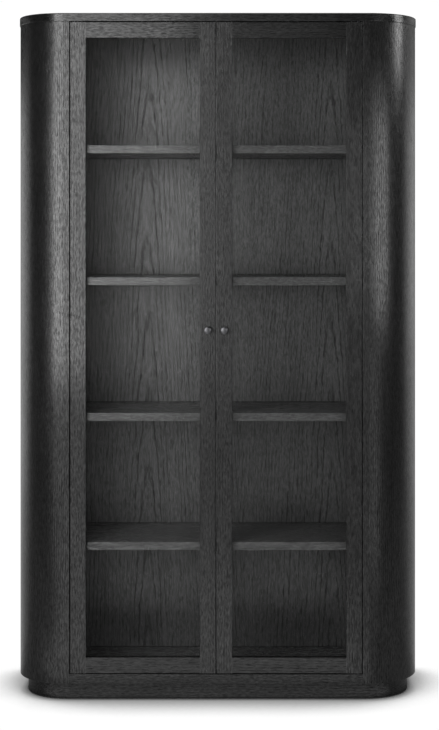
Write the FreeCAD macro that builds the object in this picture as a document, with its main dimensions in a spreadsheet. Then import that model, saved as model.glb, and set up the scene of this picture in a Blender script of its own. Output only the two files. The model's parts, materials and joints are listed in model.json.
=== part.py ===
import FreeCAD, Part
import Sketcher
import os
from types import SimpleNamespace

# Glazed two-door display cabinet with quarter-round front corners.
# Frame: +X to the viewer's right, +Y to the back, +Z up. The origin lies on the floor, under the middle
# of the whole object, knobs included. Inside each piece x is measured from the cabinet's centre line, y from
# the front plane of the body towards the back and z from the piece's own underside.

DIMENSIONS = (
    # alias, millimetres, meaning
    ("overall_width", 1250, "width over the top cap"),
    ("overall_height", 2110, "height over the top cap"),
    ("body_depth", 378, "front plane to the rear edges of the side shells"),
    ("cap_thickness", 25, "top cap"),
    ("cap_overhang", 2, "how far the cap stands proud of the body"),
    ("cap_round", 2.5, "rounding along the cap's upper edge"),
    ("corner_radius", 153, "outer radius of the body's front corners"),
    ("shell_thickness", 18, "bent side shells and straight inner panels"),
    ("opening_width", 900, "door opening"),
    ("edge_round", 1, "easing of exposed edges"),
    ("glue_line", 0.1, "gap left for glue around fitted pieces"),
    ("plinth_height", 54, "floor to the underside of the body"),
    ("plinth_inset", 25, "set-back of the plinth at the front and sides"),
    ("plinth_back_inset", 8, "set-back of the plinth at the back, for a skirting board"),
    ("plinth_thickness", 18, "plinth band and back board"),
    ("glide_height", 3, "nylon glides under the plinth"),
    ("glide_radius", 8, "nylon glides"),
    ("glide_nail_radius", 1.5, "nail of a glide"),
    ("glide_nail_length", 14, "nail of a glide"),
    ("block_side", 45, "square blocks that fix the plinth to the floor panel"),
    ("rail_height", 28, "front rail under the doors"),
    ("rail_thickness", 20, "front rail under the doors"),
    ("floor_thickness", 20, "floor panel"),
    ("back_setback", 350, "front plane to the face of the back panel"),
    ("back_thickness", 9, "back panel"),
    ("anchor_height", 70, "rail behind the back panel, at the top"),
    ("anchor_thickness", 15, "rail behind the back panel"),
    ("anchor_spacing", 800, "distance between the wall anchor points"),
    ("insert_bore_radius", 3, "bore of the threaded inserts"),
    ("insert_radius", 5, "outside of the threaded inserts"),
    ("insert_length", 13, "threaded inserts"),
    ("shelf_thickness", 25, "shelves"),
    ("shelf_setback", 30, "front plane to a shelf's front edge"),
    ("shelf_clearance", 1, "air at each end and behind a shelf"),
    ("shelf_top_1", 482, "top of the lowest shelf"),
    ("shelf_top_2", 880, "top of the second shelf"),
    ("shelf_top_3", 1299, "top of the third shelf"),
    ("shelf_top_4", 1706, "top of the highest shelf"),
    ("pin_radius", 2.5, "shelf pin in its hole"),
    ("pin_head_radius", 3.5, "shelf pin under the shelf"),
    ("pin_reach", 9, "shelf pin, length under the shelf and length in the panel"),
    ("pin_inset", 45, "shelf pin to the shelf's front or rear edge"),
    ("pin_pitch", 32, "height step of the shelf pin holes"),
    ("pin_hole_count", 5, "shelf pin holes in a row"),
    ("pin_fit", 0.05, "radial clearance of a shelf pin"),
    ("former_count", 3, "plywood formers inside each side shell"),
    ("former_thickness", 18, "plywood formers"),
    ("dowel_radius", 4, "wooden dowels"),
    ("dowel_length", 24, "wooden dowels"),
    ("dowel_inset", 50, "dowel to the end of an inner panel"),
    ("door_side_gap", 2.5, "door edge to the opening's side"),
    ("door_centre_gap", 3, "between the two doors"),
    ("door_end_gap", 3, "above and below the doors"),
    ("door_thickness", 22, "door frames"),
    ("stile_width", 48, "stiles and rails of the doors"),
    ("lip_depth", 8, "front lip that the glass rests against"),
    ("rebate_width", 10, "rebate for glass and beads"),
    ("glass_thickness", 4, "glass pane"),
    ("glass_play", 1, "air around the pane in its rebate"),
    ("tenon_length", 25, "tenons of the door rails"),
    ("tenon_thickness", 7, "tenons of the door rails"),
    ("tenon_setback", 11.5, "door front to a tenon"),
    ("tenon_height", 16, "tenons of the door rails"),
    ("pivot_inset", 12, "pivot axis to the door's hinge edge"),
    ("pivot_setback", 7.5, "pivot axis behind the front plane"),
    ("pivot_radius", 2.5, "pivot pins"),
    ("pivot_fit", 0.05, "radial running clearance of a pivot pin"),
    ("pivot_press_fit", 0.01, "radial clearance of a pivot pin in its case plate"),
    ("pivot_reach", 12, "pivot pin beyond the door's edge"),
    ("pivot_hole_radius", 3.5, "hole in the wood around a pivot pin"),
    ("pivot_tail", 8, "pivot pin inside the case"),
    ("collar_radius", 4.5, "spacing collar of a pivot pin"),
    ("leaf_thickness", 2.5, "hinge plates and leaves"),
    ("leaf_half_width", 5, "hinge plates and leaves, half width and end radius"),
    ("leaf_length", 20, "pivot axis to the middle of a leaf's far end"),
    ("screw_radius", 1.5, "small screws"),
    ("screw_head_radius", 2.8, "heads of the small screws"),
    ("screw_length", 14, "countersunk screws"),
    ("pilot_fit", 0.05, "radial clearance modelled around a screw"),
    ("pan_radius", 2, "pan-head screws"),
    ("pan_head_radius", 4, "heads of the pan-head screws"),
    ("pan_head_height", 2.4, "heads of the pan-head screws"),
    ("pan_length", 30, "pan-head screws of the back panel and plinth"),
    ("back_screw_count", 6, "screws between the back panel and each inner panel"),
    ("knob_radius", 11.5, "door knobs"),
    ("knob_projection", 24, "door knob in front of the door"),
    ("knob_neck_radius", 4.5, "neck of a knob"),
    ("knob_foot_radius", 7, "foot of a knob"),
    ("knob_height", 1137, "knob axis above the floor"),
    ("knob_thickness", 14, "head of a knob, front to back"),
    ("knob_dome", 3, "height of the dome on a knob's face"),
    ("knob_round", 3.2, "rounding of a knob's rim"),
    ("knob_foot_height", 2, "foot of a knob"),
    ("knob_bolt_radius", 2, "machine screw of a knob"),
    ("knob_bolt_grip", 11, "machine screw of a knob, length inside the knob"),
    ("knob_bolt_head_radius", 4, "head of a knob's machine screw"),
    ("knob_bolt_head_height", 2.7, "head of a knob's machine screw"),
    ("knob_bolt_sink", 3, "counterbore for the head of a knob's machine screw"),
    ("knob_bore_depth", 12, "threaded bore of a knob"),
    ("catch_length", 40, "magnetic catches"),
    ("catch_depth", 14, "magnetic catches"),
    ("catch_height", 12, "magnetic catches"),
    ("catch_screw_spacing", 24, "between the two screws of a catch"),
    ("catch_screw_length", 22, "pan-head screws of the catches"),
    ("strike_thickness", 1.5, "strike plates"),
    ("strike_length", 34, "strike plates"),
    ("strike_height", 11, "strike plates"),
    ("strike_screw_spacing", 22, "between the two screws of a strike plate"),
    ("air_gap", 0.1, "closed strike plate to its catch"),
)

# Proportions of screws and their cross-shaped drive recess.
POINT_LENGTH = 1.5  # of the shank's radius
RECESS_REACH = 1.1  # of the head's radius
RECESS_WIDTH = 0.3  # of the head's radius
RECESS_DEPTH = 0.45  # of the head's radius
PAN_HEAD_CURVE = ((1, 0.45), (0.88, 0.8), (0.6, 1))  # (of the head's radius, of its height)
SOFT_END = 4  # small pins and dowels are softened by their radius over this number

TOLERANCE = 1e-4
LEFT = -1
RIGHT = 1
SIDES = ((LEFT, "left"), (RIGHT, "right"))


class Dim:
    """A size in millimetres, kept together with the sheet expression that drives it."""

    def __init__(self, text, value):
        self.text = text
        self.value = value

    @staticmethod
    def of(size):
        return size if isinstance(size, Dim) else Dim(repr(size), size)

    def __add__(self, other):
        other = Dim.of(other)
        return Dim(f"({self.text} + {other.text})", self.value + other.value)

    def __sub__(self, other):
        other = Dim.of(other)
        return Dim(f"({self.text} - {other.text})", self.value - other.value)

    def __mul__(self, other):
        other = Dim.of(other)
        return Dim(f"({self.text} * {other.text})", self.value * other.value)

    def __truediv__(self, other):
        other = Dim.of(other)
        return Dim(f"({self.text} / {other.text})", self.value / other.value)

    def __neg__(self):
        return self * -1

    __rmul__ = __mul__


NIL = Dim("0", 0)

doc = FreeCAD.newDocument("DisplayCabinet")
sheet = doc.addObject("Spreadsheet::Sheet", "Size")
for row, (alias, millimetres, meaning) in enumerate(DIMENSIONS, start=1):
    sheet.set(f"A{row}", meaning)
    sheet.set(f"B{row}", str(millimetres))
    sheet.setAlias(f"B{row}", alias)
doc.recompute()
size = SimpleNamespace(**{alias: Dim(f"Size.{alias}", sheet.get(alias)) for alias, _, _ in DIMENSIONS})

# Places that follow from the driving dimensions. Heights are above the floor, widths from the centre line.
front = (size.knob_projection - size.body_depth) / 2
body_half_width = size.overall_width / 2 - size.cap_overhang
shell_inside = body_half_width - size.shell_thickness
opening_half = size.opening_width / 2
cap_underside = size.overall_height - size.cap_thickness
body_height = cap_underside - size.plinth_height
floor_top = size.plinth_height + size.floor_thickness
inner_height = cap_underside - floor_top
inner_radius = size.corner_radius - size.shell_thickness
door_bottom = size.plinth_height + size.rail_height + size.door_end_gap
door_height = cap_underside - size.door_end_gap - door_bottom
door_outer = opening_half - size.door_side_gap
door_inner = size.door_centre_gap / 2
pane_outer = door_outer - size.stile_width
pane_inner = door_inner + size.stile_width
pane_width = pane_outer - pane_inner
pane_middle = (pane_outer + pane_inner) / 2
pivot_x = door_outer - size.pivot_inset
knob_x = door_inner + size.stile_width / 2
panel_middle = opening_half + size.shell_thickness / 2
shelf_depth = size.back_setback - size.shelf_setback - size.shelf_clearance
shelf_tops = (size.shelf_top_1, size.shelf_top_2, size.shelf_top_3, size.shelf_top_4)
pin_rows = (
    size.shelf_setback + size.pin_inset,
    size.shelf_setback + shelf_depth - size.pin_inset,
)
leaf_screws = (size.leaf_length / 2, size.leaf_length)
plinth_half = body_half_width - size.plinth_inset
plinth_radius = size.corner_radius - size.plinth_inset
plinth_rear = size.body_depth - size.plinth_back_inset
board_height = size.plinth_height - size.glide_height
dowel_rows = (
    size.shell_thickness + size.dowel_inset,
    (size.shell_thickness + size.back_setback) / 2,
    size.back_setback - size.dowel_inset,
)
pilot_radius = size.screw_radius + size.pilot_fit
pan_hole_radius = size.pan_radius + size.pilot_fit

sub_parts = []


def bind(thing, **sizes):
    """Drive properties of an object by the sheet; a double underscore in a name stands for a dot."""
    for name, dim in sizes.items():
        thing.setExpression(name.replace("__", "."), dim.text)


def body(label, z):
    """A new sub-part. Its x starts at the centre line, its y at the front plane and its z at height z."""
    made = doc.addObject("PartDesign::Body", label)
    made.Label = label
    bind(made, Placement__Base__y=front, Placement__Base__z=z)
    sub_parts.append(made)
    return made


def origin_feature(owner, role):
    """One of the body's own planes or axes."""
    return next(feature for feature in owner.Origin.OriginFeatures if feature.Role == role)


def sketch_on(owner, plane, offset=NIL):
    """An empty sketch on one of the body's own planes, moved along the plane's normal by the offset."""
    made = owner.newObject("Sketcher::SketchObject", "Profile")
    made.AttachmentSupport = [(origin_feature(owner, f"{plane}_Plane"), "")]
    made.MapMode = "FlatFace"
    bind(made, AttachmentOffset__Base__z=offset)
    return made


def pin_point(sketch, geometry, point, x, y):
    """Fix a point of the sketch at (x, y), driven by the sheet."""
    for kind, dim in (("DistanceX", x), ("DistanceY", y)):
        index = sketch.addConstraint(Sketcher.Constraint(kind, -1, 1, geometry, point, dim.value))
        sketch.setExpression(f"Constraints[{index}]", dim.text)


def outline(sketch, corners):
    """Close an outline through the corners, listed counter-clockwise. A corner is (x, y), or (x, y, (cx, cy))
    where an arc about (cx, cy) leads to the next corner."""
    spots = [FreeCAD.Vector(corner[0].value, corner[1].value, 0) for corner in corners]
    ends = []
    for index, corner in enumerate(corners):
        start = spots[index]
        end = spots[(index + 1) % len(spots)]
        if len(corner) == 2:
            ends.append((sketch.addGeometry(Part.LineSegment(start, end)), 1, 2))
            continue
        centre = FreeCAD.Vector(corner[2][0].value, corner[2][1].value, 0)
        outward = (start - centre).cross(end - centre).z > -FreeCAD.Base.Precision.confusion()
        first, last = (start, end) if outward else (end, start)
        circle = Part.Circle(centre, FreeCAD.Vector(0, 0, 1), (start - centre).Length)
        arc = Part.ArcOfCircle(circle, circle.parameter(first), circle.parameter(last))
        ends.append((sketch.addGeometry(arc), 1, 2) if outward else (sketch.addGeometry(arc), 2, 1))
    for index, (geometry, begin, _) in enumerate(ends):
        before, _, finish = ends[index - 1]
        sketch.addConstraint(Sketcher.Constraint("Coincident", before, finish, geometry, begin))
        pin_point(sketch, geometry, begin, corners[index][0], corners[index][1])
        if len(corners[index]) == 3:
            dim = corners[index][2][0]
            number = sketch.addConstraint(Sketcher.Constraint("DistanceX", -1, 1, geometry, 3, dim.value))
            sketch.setExpression(f"Constraints[{number}]", dim.text)


def rectangle(sketch, x, y, width, depth):
    """A rectangle whose corner nearest the origin's lower left is (x, y)."""
    outline(sketch, ((x, y), (x + width, y), (x + width, y + depth), (x, y + depth)))


def circles(sketch, places, radius):
    """Equal circles at the places."""
    for x, y in places:
        geometry = sketch.addGeometry(
            Part.Circle(FreeCAD.Vector(x.value, y.value, 0), FreeCAD.Vector(0, 0, 1), radius.value)
        )
        pin_point(sketch, geometry, 3, x, y)
        index = sketch.addConstraint(Sketcher.Constraint("Radius", geometry, radius.value))
        sketch.setExpression(f"Constraints[{index}]", radius.text)


def pad(owner, sketch, length, backwards=False, midplane=False):
    made = owner.newObject("PartDesign::Pad", "Pad")
    made.Profile = sketch
    made.Reversed = backwards
    made.Midplane = midplane
    bind(made, Length=length)
    doc.recompute()
    return made


def pocket(owner, sketch, depth, backwards=False):
    """Cut the sketch into the body, and stop if the cut removes nothing."""
    before = owner.Shape.Volume
    made = owner.newObject("PartDesign::Pocket", "Pocket")
    made.Profile = sketch
    made.Reversed = backwards
    bind(made, Length=depth)
    doc.recompute()
    if owner.Shape.Volume >= before:
        raise RuntimeError(f"a pocket of {owner.Label} removes nothing")
    return made


def drill(owner, plane, offset, places, radius, depth, backwards=False):
    """Round holes of one size, from a plane of the body."""
    sketch = sketch_on(owner, plane, offset)
    circles(sketch, places, radius)
    return pocket(owner, sketch, depth, backwards)


def repeat_upwards(owner, feature, reach, count):
    """Repeat a feature evenly over the given height."""
    made = owner.newObject("PartDesign::LinearPattern", "Repeated")
    made.Originals = [feature]
    made.Direction = (origin_feature(owner, "Z_Axis"), [""])
    bind(made, Length=reach, Occurrences=count)
    owner.Tip = made
    doc.recompute()


def ease(owner, radius, chosen):
    """Round the body's edges that the chosen test accepts."""
    tip = owner.Tip
    names = [f"Edge{i}" for i, edge in enumerate(tip.Shape.Edges, start=1) if chosen(edge)]
    made = owner.newObject("PartDesign::Fillet", "Eased")
    made.Base = (tip, names)
    bind(made, Radius=radius)
    doc.recompute()


def near(value, dim):
    return abs(value - dim.value) < TOLERANCE


def flat_at(edge, axis, *places):
    """Whether the whole edge lies at one of the places along the axis, in the body's own frame."""
    box = edge.BoundBox
    low = getattr(box, axis + "Min")
    high = getattr(box, axis + "Max")
    return any(near(low, place) and near(high, place) for place in places)


def runs_along(edge, axis):
    """Whether the edge is a straight line along the axis."""
    box = edge.BoundBox
    return all(getattr(box, other + "Length") < TOLERANCE for other in "XYZ" if other != axis)


def is_round(edge, radius):
    """Whether the edge is a circle or arc of the given radius."""
    return not edge.Degenerated and hasattr(edge.Curve, "Radius") and near(edge.Curve.Radius, radius)


def group(label, solids, z=NIL):
    """One sub-part that holds several separate equal solids."""
    made = doc.addObject("Part::Feature", label)
    made.Label = label
    made.Shape = Part.makeCompound(solids)
    made.Placement = FreeCAD.Placement(FreeCAD.Vector(0, front.value, z.value), FreeCAD.Rotation())
    sub_parts.append(made)


def turned(points):
    """A solid of revolution about Z from (radius, height) points."""
    corners = [FreeCAD.Vector(radius.value, 0, height.value) for radius, height in points]
    face = Part.Face(Part.makePolygon(corners + corners[:1]))
    return face.revolve(FreeCAD.Vector(), FreeCAD.Vector(0, 0, 1), 360)


def placed(solid, x, y, z, towards=(0, 0, 1)):
    """A copy of a solid that was made along +Z, moved to (x, y, z) and turned to point the given way."""
    copy = solid.copy()
    turn = FreeCAD.Rotation(FreeCAD.Vector(0, 0, 1), FreeCAD.Vector(*towards))
    copy.Placement = FreeCAD.Placement(FreeCAD.Vector(x.value, y.value, z.value), turn)
    return copy


def cross_recess(head_radius, top):
    """The cross-shaped drive recess of a screw whose head ends at the given height."""
    reach = head_radius.value * RECESS_REACH
    width = head_radius.value * RECESS_WIDTH
    depth = head_radius.value * RECESS_DEPTH
    bars = []
    for along, across in ((reach, width), (width, reach)):
        corner = FreeCAD.Vector(-along / 2, -across / 2, top.value - depth)
        bars.append(Part.makeBox(along, across, depth * 2, corner))
    return bars[0].fuse(bars[1])


def flat_screw():
    """A countersunk screw that points along -Z, with its head's face at z = 0."""
    shank = size.screw_radius
    head = size.screw_head_radius
    taper_end = shank * POINT_LENGTH - size.screw_length
    points = ((NIL, -size.screw_length), (shank, taper_end), (shank, shank - head), (head, NIL), (NIL, NIL))
    return turned(points).cut(cross_recess(head, NIL))


def pan_screw(length):
    """A pan-head screw that points along -Z, with its head standing above z = 0."""
    shank = size.pan_radius
    head = size.pan_head_radius
    high = size.pan_head_height
    points = [(NIL, -length), (shank, shank * POINT_LENGTH - length), (shank, NIL), (head, NIL)]
    points += [(head * wide, high * up) for wide, up in PAN_HEAD_CURVE]
    points.append((NIL, high))
    return turned(points).cut(cross_recess(head, high))


def front_rounded(half, radius, y_front, y_back, inside=NIL):
    """Corners of a plan outline with round front corners, drawn in by the inside distance."""
    wide = half - inside
    near_y = y_front + inside
    turn = radius - inside
    straight = wide - turn
    curve_y = near_y + turn
    return (
        (-wide, y_back),
        (-wide, curve_y, (-straight, curve_y)),
        (-straight, near_y),
        (straight, near_y, (straight, curve_y)),
        (wide, curve_y),
        (wide, y_back),
    )


def top_cap():
    """Solid top slab, a little proud of the body, with rounded upper and eased lower edges."""
    made = body("top_cap", cap_underside)
    plan = sketch_on(made, "XY")
    radius = size.corner_radius + size.cap_overhang
    outline(plan, front_rounded(size.overall_width / 2, radius, -size.cap_overhang, size.body_depth))
    pad(made, plan, size.cap_thickness)

    def exposed(edge):
        return not flat_at(edge, "Y", size.body_depth) and not runs_along(edge, "Z")

    ease(made, size.cap_round, lambda edge: exposed(edge) and flat_at(edge, "Z", size.cap_thickness))
    ease(made, size.edge_round, lambda edge: exposed(edge) and flat_at(edge, "Z", NIL))
    dowels = [(side * panel_middle, y) for side, _ in SIDES for y in dowel_rows]
    drill(made, "XY", NIL, dowels, size.dowel_radius, size.dowel_length / 2, backwards=True)
    for side, _ in SIDES:
        plate_seat(made, side, NIL, downwards=False)
    catch_holes = [(side * x, catch_y()) for side, _ in SIDES for x in catch_screw_xs()]
    drill(made, "XY", NIL, catch_holes, pan_hole_radius, size.catch_height, backwards=True)


def leaf_outline(sketch, side):
    """Plan of a hinge plate: a straight strip with round ends, the outer one concentric with the pivot."""
    inner = side * (pivot_x - size.leaf_length)
    outer = side * pivot_x
    left, right = (inner, outer) if side == RIGHT else (outer, inner)
    low = size.pivot_setback - size.leaf_half_width
    high = size.pivot_setback + size.leaf_half_width
    outline(
        sketch,
        (
            (left, low),
            (right, low, (right, size.pivot_setback)),
            (right, high),
            (left, high, (left, size.pivot_setback)),
        ),
    )


def leaf_screw_places(side):
    return [(side * (pivot_x - reach), size.pivot_setback) for reach in leaf_screws]


def plate_seat(owner, side, z, downwards):
    """Seat of a hinge plate in wood, with the holes for its pivot pin and screws, cut from height z."""
    recess = sketch_on(owner, "XY", z)
    leaf_outline(recess, side)
    pocket(owner, recess, size.leaf_thickness, backwards=not downwards)
    pivot = [(side * pivot_x, size.pivot_setback)]
    deep = size.pivot_reach + size.leaf_thickness
    drill(owner, "XY", z, pivot, size.pivot_hole_radius, deep, backwards=not downwards)
    screws = leaf_screw_places(side)
    drill(owner, "XY", z, screws, pilot_radius, size.screw_length + size.edge_round, backwards=not downwards)


def countersink(owner, axis, face):
    """Widen the screw holes' rims that lie in the face at the given place along the axis."""
    tip = owner.Tip
    names = []
    for index, edge in enumerate(tip.Shape.Edges, start=1):
        if is_round(edge, pilot_radius) and flat_at(edge, axis, face):
            names.append(f"Edge{index}")
    made = owner.newObject("PartDesign::Chamfer", "Countersink")
    made.Base = (tip, names)
    bind(made, Size=size.screw_head_radius - size.screw_radius)
    doc.recompute()


def leaf(label, side, z, bore_radius, face_up):
    """A steel hinge plate, countersunk from the face that the gap shows."""
    made = body(label, z)
    plan = sketch_on(made, "XY")
    leaf_outline(plan, side)
    circles(plan, [(side * pivot_x, size.pivot_setback)], bore_radius)
    circles(plan, leaf_screw_places(side), pilot_radius)
    pad(made, plan, size.leaf_thickness)
    countersink(made, "Z", size.leaf_thickness if face_up else NIL)


def side_shell(side, name):
    """Bent panel: straight side, quarter-round front corner and the narrow flat strip beside the door."""
    made = body(f"{name}_side_shell", size.plinth_height)
    curve_x = body_half_width - size.corner_radius
    curve = (side * curve_x, size.corner_radius)
    plan = sketch_on(made, "XY")
    outline(
        plan,
        (
            (side * body_half_width, size.body_depth),
            (side * body_half_width, size.corner_radius, curve),
            (side * curve_x, NIL),
            (side * opening_half, NIL),
            (side * opening_half, size.shell_thickness),
            (side * curve_x, size.shell_thickness, curve),
            (side * shell_inside, size.corner_radius),
            (side * shell_inside, size.body_depth),
        ),
    )
    pad(made, plan, body_height)
    door_edge = side * opening_half
    ease(
        made,
        size.edge_round,
        lambda edge: runs_along(edge, "Z") and flat_at(edge, "Y", NIL) and flat_at(edge, "X", door_edge),
    )


def inner_panel(side, name):
    """Straight inner wall of the case, bored for shelf pins and dowels."""
    made = body(f"{name}_inner_panel", floor_top)
    plan = sketch_on(made, "XY")
    wall = side * (opening_half if side == RIGHT else opening_half + size.shell_thickness)
    depth = size.back_setback - size.shell_thickness
    rectangle(plan, wall, size.shell_thickness, size.shell_thickness, depth)
    pad(made, plan, inner_height)
    dowels = [(side * panel_middle, y) for y in dowel_rows]
    drill(made, "XY", NIL, dowels, size.dowel_radius, size.dowel_length / 2, backwards=True)
    drill(made, "XY", inner_height, dowels, size.dowel_radius, size.dowel_length / 2)
    screws = [(side * panel_middle, z - floor_top) for z in panel_screw_heights() + anchor_screw_heights()]
    back_holes(made, screws, size.back_setback, size.pan_length - size.back_thickness)
    row_height = size.pin_pitch * (size.pin_hole_count - 1)
    start_holes = []
    for top in shelf_tops:
        height = top - size.shelf_thickness - size.pin_head_radius - floor_top - row_height / 2
        start_holes += [(y, height) for y in pin_rows]
    holes = drill(
        made,
        "YZ",
        side * opening_half,
        start_holes,
        size.pin_radius + size.pin_fit,
        size.pin_reach + size.edge_round,
        backwards=side == RIGHT,
    )
    repeat_upwards(made, holes, row_height, size.pin_hole_count)


def back_holes(owner, places, y, depth):
    """Round screw holes from depth y towards the front. The places are (x, z)."""
    drill(owner, "XZ", -y, places, pan_hole_radius, depth, backwards=True)


def panel_screw_heights():
    """Heights of the screws that hold the back panel to an inner panel."""
    spread = (inner_height - size.anchor_height * 2) / size.back_screw_count
    rows = range(int(size.back_screw_count.value))
    return [floor_top + size.anchor_height + spread * row for row in rows]


def anchor_screw_heights():
    """Heights of the screws that hold the anchor rail, a quarter of its height from either edge."""
    quarter = size.anchor_height / 4
    return [cap_underside - quarter, cap_underside - quarter * 3]


def floor_screw_xs():
    """Places of the screws that hold the back panel to the floor panel."""
    return [side * opening_half / 2 for side in (LEFT, 0, RIGHT)]


def formers(side, name):
    """Plywood formers that keep the curved shell true to its inner panel."""
    glue = size.glue_line
    reach = inner_radius - glue
    outer = shell_inside - glue
    wall = opening_half + size.shell_thickness
    curve_x = body_half_width - size.corner_radius
    made = body(f"{name}_side_formers", floor_top)
    pitch = inner_height / (size.former_count + 1)
    plan = sketch_on(made, "XY", pitch - size.former_thickness / 2)
    curve = (side * curve_x, size.corner_radius)
    outline(
        plan,
        (
            (side * wall, size.back_setback),
            (side * outer, size.back_setback),
            (side * outer, size.corner_radius, curve),
            (side * curve_x, size.corner_radius - reach),
            (side * wall, size.corner_radius - reach),
        ),
    )
    first = pad(made, plan, size.former_thickness)
    made.AllowCompound = True
    repeat_upwards(made, first, pitch * (size.former_count - 1), size.former_count)


def floor_panel():
    """Floor of the case, fitted between the shells; the inner panels stand on it."""
    made = body("floor_panel", size.plinth_height)
    plan = sketch_on(made, "XY")
    wide = shell_inside - size.glue_line
    reach = inner_radius - size.glue_line
    curve_x = body_half_width - size.corner_radius
    near_y = size.corner_radius - reach
    behind_rail = size.rail_thickness
    outline(
        plan,
        (
            (-wide, size.back_setback),
            (-wide, size.corner_radius, (-curve_x, size.corner_radius)),
            (-curve_x, near_y),
            (-opening_half, near_y),
            (-opening_half, behind_rail),
            (opening_half, behind_rail),
            (opening_half, near_y),
            (curve_x, near_y, (curve_x, size.corner_radius)),
            (wide, size.corner_radius),
            (wide, size.back_setback),
        ),
    )
    pad(made, plan, size.floor_thickness)
    dowels = [(side * panel_middle, y) for side, _ in SIDES for y in dowel_rows]
    drill(made, "XY", size.floor_thickness, dowels, size.dowel_radius, size.dowel_length / 2)
    screws = [(x, size.floor_thickness / 2) for x in floor_screw_xs()]
    back_holes(made, screws, size.back_setback, size.pan_length - size.back_thickness)
    rise = size.pan_length - size.plinth_thickness
    drill(made, "XY", NIL, block_places(), pan_hole_radius, rise, backwards=True)


def front_rail():
    """Narrow rail under the doors, with the seats of the lower hinge plates in its top."""
    made = body("bottom_front_rail", size.plinth_height)
    plan = sketch_on(made, "XY")
    rectangle(plan, -opening_half, NIL, size.opening_width, size.rail_thickness)
    pad(made, plan, size.rail_height)
    ease(
        made,
        size.edge_round,
        lambda edge: runs_along(edge, "X") and flat_at(edge, "Y", NIL),
    )
    for side, _ in SIDES:
        plate_seat(made, side, size.rail_height, downwards=True)


def back_panel():
    """Thin back, set in between the shells."""
    made = body("back_panel", size.plinth_height)
    plan = sketch_on(made, "XY")
    wide = shell_inside - size.glue_line
    rectangle(plan, -wide, size.back_setback, wide * 2, size.back_thickness)
    pad(made, plan, body_height)
    screws = [
        (side * panel_middle, z - size.plinth_height)
        for side, _ in SIDES
        for z in panel_screw_heights() + anchor_screw_heights()
    ]
    screws += [(x, size.floor_thickness / 2) for x in floor_screw_xs()]
    back_holes(made, screws, size.back_setback + size.back_thickness, size.back_thickness)


def anchor_rail():
    """Rail behind the back panel, with threaded inserts for a wall restraint."""
    made = body("wall_anchor_rail", cap_underside - size.anchor_height)
    plan = sketch_on(made, "XY")
    wide = shell_inside - size.glue_line
    near_y = size.back_setback + size.back_thickness
    rectangle(plan, -wide, near_y, wide * 2, size.anchor_thickness)
    pad(made, plan, size.anchor_height)
    rear = near_y + size.anchor_thickness
    bottom = cap_underside - size.anchor_height
    screws = [(side * panel_middle, z - bottom) for side, _ in SIDES for z in anchor_screw_heights()]
    back_holes(made, screws, rear, size.anchor_thickness)
    inserts = [(side * size.anchor_spacing / 2, size.anchor_height / 2) for side, _ in SIDES]
    drill(made, "XZ", -rear, inserts, size.insert_radius, size.insert_length, backwards=True)
    solids = []
    for x, z in inserts:
        tube = turned(
            (
                (size.insert_bore_radius, NIL),
                (size.insert_radius, NIL),
                (size.insert_radius, size.insert_length),
                (size.insert_bore_radius, size.insert_length),
            )
        )
        solids.append(placed(tube, x, rear, z, towards=(0, -1, 0)))
    group("wall_anchor_inserts", solids, z=bottom)


def back_screws():
    """Screws of the back panel and of the anchor rail."""
    rear = size.back_setback + size.back_thickness
    backwards = (0, 1, 0)
    short = pan_screw(size.pan_length)
    places = [(side * panel_middle, z) for side, _ in SIDES for z in panel_screw_heights()]
    places += [(x, size.plinth_height + size.floor_thickness / 2) for x in floor_screw_xs()]
    group("back_panel_screws", [placed(short, x, rear, z, towards=backwards) for x, z in places])
    long = pan_screw(size.pan_length + size.anchor_thickness)
    rail_rear = rear + size.anchor_thickness
    places = [(side * panel_middle, z) for side, _ in SIDES for z in anchor_screw_heights()]
    group("anchor_rail_screws", [placed(long, x, rail_rear, z, towards=backwards) for x, z in places])


def dowels():
    """Dowels that join the inner panels to the cap and to the floor panel."""
    radius = size.dowel_radius
    half = size.dowel_length / 2
    soft = radius / SOFT_END
    dowel = turned(
        (
            (NIL, -half),
            (radius - soft, -half),
            (radius, soft - half),
            (radius, half - soft),
            (radius - soft, half),
            (NIL, half),
        )
    )
    solids = [
        placed(dowel, side * panel_middle, y, z)
        for side, _ in SIDES
        for y in dowel_rows
        for z in (floor_top, cap_underside)
    ]
    group("case_dowels", solids)


def block_places():
    """Middles of the plinth's fixing blocks, tucked against the band and the back board."""
    inset = size.plinth_thickness + size.glue_line + size.block_side / 2
    straight_end = plinth_half - plinth_radius - size.block_side / 2
    return [
        (side * x, y)
        for side, _ in SIDES
        for x, y in ((plinth_half - inset, plinth_rear - inset), (straight_end, size.plinth_inset + inset))
    ]


def glide_places():
    """Middles of the glides: under the band's front and sides, and under the back board."""
    half = size.plinth_thickness / 2
    band = [
        (side * x, y)
        for side, _ in SIDES
        for x, y in (
            (plinth_half - plinth_radius, size.plinth_inset + half),
            (plinth_half - half, size.plinth_inset + plinth_radius),
        )
    ]
    board = [(side * (plinth_half - size.block_side), plinth_rear - half) for side, _ in SIDES]
    return band, board


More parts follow.
